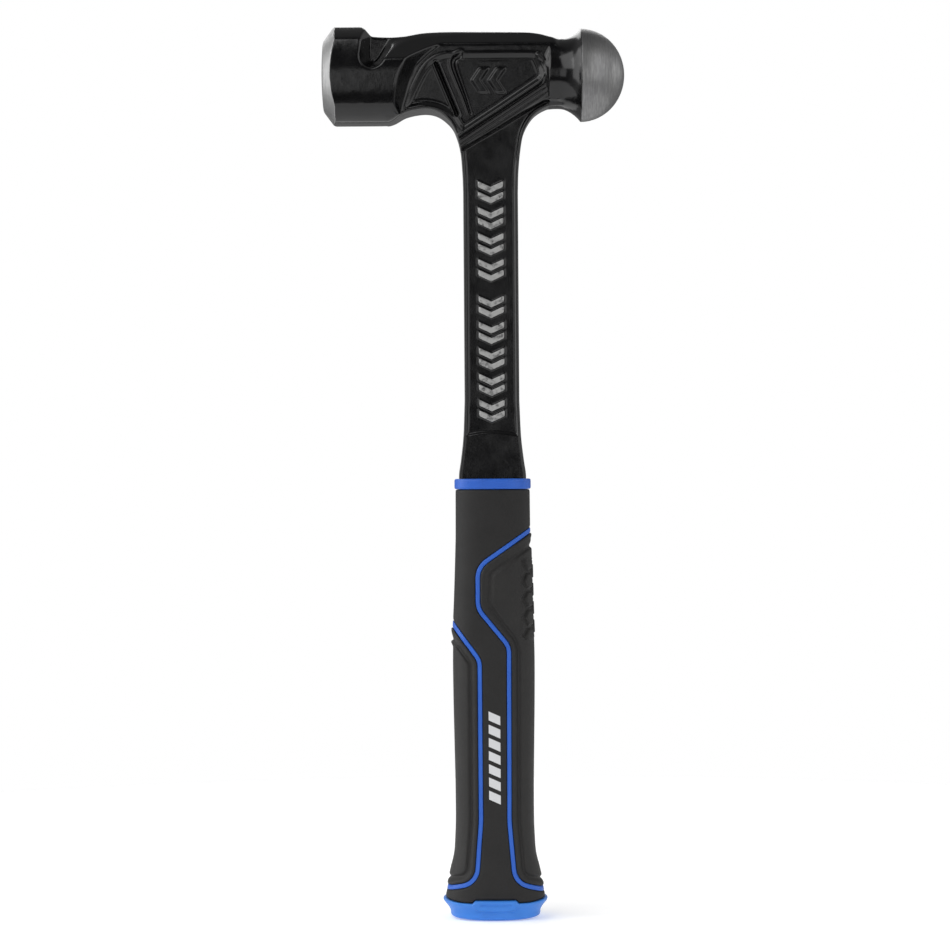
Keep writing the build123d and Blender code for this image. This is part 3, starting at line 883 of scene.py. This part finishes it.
for name, field, node in (
    ("front_accent_line", accent_front, "front_accent_loop"),
    ("rear_accent_line", accent_rear, "rear_accent_loop"),
):
    make_piece(name, field, *grip_box, FINE_STEP, line_plastic, "accent_plastic", node)
make_piece(
    "collar_band", collar, (-18, 0, COLLAR_BOTTOM - 1), (18, 15, COLLAR_TOP + 1), FINE_STEP,
    line_plastic, "accent_plastic", "collar_ring",
)
make_piece(
    "butt_cap_shell", cap, (-23, 0, -1), (23, 19, 18), FINE_STEP, cap_plastic, "cap_plastic", "butt_cap",
)
core_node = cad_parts["grip_core"]
core_node.data.materials.clear()
core_node.data.materials.append(core_plastic)


# ---- Floor, light and camera -----------------------------------------------------------
def area_light(name, place, target, width, height, power):
    lamp = bpy.data.lights.new(name, "AREA")
    lamp.shape = "RECTANGLE"
    lamp.size = width
    lamp.size_y = height
    lamp.energy = power
    holder = bpy.data.objects.new(name, lamp)
    holder.location = place
    holder.rotation_euler = (Vector(target) - Vector(place)).to_track_quat("-Z", "Y").to_euler()
    bpy.context.scene.collection.objects.link(holder)


def card(name, place, target, width, height, glow):
    """Pale card of the given brightness, seen only as a soft reflection in the gloss."""
    area_light(name, place, target, width, height, glow * math.pi * width * height)


def front_card(name, left, right, bottom, top, glow):
    """Card behind the camera, square to its view."""
    place = ((left + right) / 2, -1.5, (bottom + top) / 2)
    card(name, place, (place[0], 0, place[2]), right - left, top - bottom, glow)


def studio_world():
    """White surroundings, dark where the camera stands, so that the gloss black reads as black."""
    world = bpy.data.worlds.new("studio")
    world.use_nodes = True
    bpy.context.scene.world = world
    tree = world.node_tree
    backdrop = tree.nodes["Background"]
    backdrop.inputs["Color"].default_value = (1, 1, 1, 1)
    direction = tree.nodes.new("ShaderNodeTexCoord").outputs["Generated"]
    split = tree.nodes.new("ShaderNodeSeparateXYZ")
    tree.links.new(direction, split.inputs[0])
    ramp = tree.nodes.new("ShaderNodeMapRange")
    tree.links.new(split.outputs["Y"], ramp.inputs["Value"])
    for name, value in (("From Min", -0.75), ("From Max", 0.0), ("To Min", 0.05), ("To Max", 0.22)):
        ramp.inputs[name].default_value = value
    aside = tree.nodes.new("ShaderNodeMath")
    aside.operation = "ABSOLUTE"
    tree.links.new(split.outputs["X"], aside.inputs[0])
    sides = tree.nodes.new("ShaderNodeMapRange")
    tree.links.new(aside.outputs[0], sides.inputs["Value"])
    for name, value in (("From Min", 0.5), ("From Max", 0.95), ("To Min", 0.0), ("To Max", 0.3)):
        sides.inputs[name].default_value = value
    both = tree.nodes.new("ShaderNodeMath")
    tree.links.new(ramp.outputs[0], both.inputs[0])
    tree.links.new(sides.outputs[0], both.inputs[1])
    seen = tree.nodes.new("ShaderNodeLightPath").outputs["Is Camera Ray"]
    choice = tree.nodes.new("ShaderNodeMix")
    tree.links.new(seen, choice.inputs["Factor"])
    tree.links.new(both.outputs[0], choice.inputs["A"])
    choice.inputs["B"].default_value = 1.0
    tree.links.new(choice.outputs["Result"], backdrop.inputs["Strength"])


floor_material = Shader("studio floor")
floor_material.put(Base_Color=srgb(240, 240, 240), Roughness=0.9)
floor_material.put(Emission_Color=(1, 1, 1, 1), Emission_Strength=0.35)
bpy.ops.mesh.primitive_circle_add(vertices=96, radius=0.6, fill_type="NGON", location=(0, 0, -0.0002))
floor = bpy.context.object
floor.name = "studio_floor"
floor.data.materials.append(floor_material.material)

studio_world()
bpy.context.scene.view_settings.view_transform = "Standard"
centre = Vector((-0.0075, 0, 0.1892))
area_light("key", (-0.9, -1.1, 1.3), centre, 1.5, 1.5, 16)
area_light("fill", (1.1, -0.9, 0.7), centre, 1.1, 1.6, 8)
area_light("left", (-1.5, -0.2, 0.7), centre, 1.4, 1.4, 12)
area_light("back", (-0.3, 1.5, 1.2), centre, 1.6, 0.8, 9)
front_card("left_card", -0.9, -0.1, -0.04, 0.6, 1.25)
front_card("middle_card", -0.06, 0.015, 0.51, 0.62, 1.5)
front_card("right_card", 0.1, 0.9, -0.04, 0.52, 1.3)
card("far_left_card", (-1.5, 0.45, 0.45), centre, 0.8, 0.8, 1.5)
card("far_right_card", (1.5, 0.5, 0.6), centre, 0.8, 0.8, 1.2)

CAMERA_AWAY = 1.3
FRAME_HEIGHT = 0.4074
SENSOR = 36.0
CAMERA_ROLL = 0.41
camera_data = bpy.data.cameras.new("camera")
camera_data.sensor_width = SENSOR
camera_data.lens = SENSOR * CAMERA_AWAY / FRAME_HEIGHT
camera = bpy.data.objects.new("camera", camera_data)
camera.location = centre - Vector((0, CAMERA_AWAY, 0))
camera.rotation_euler = (math.radians(90), math.radians(CAMERA_ROLL), 0)
bpy.context.scene.collection.objects.link(camera)
bpy.context.scene.camera = camera
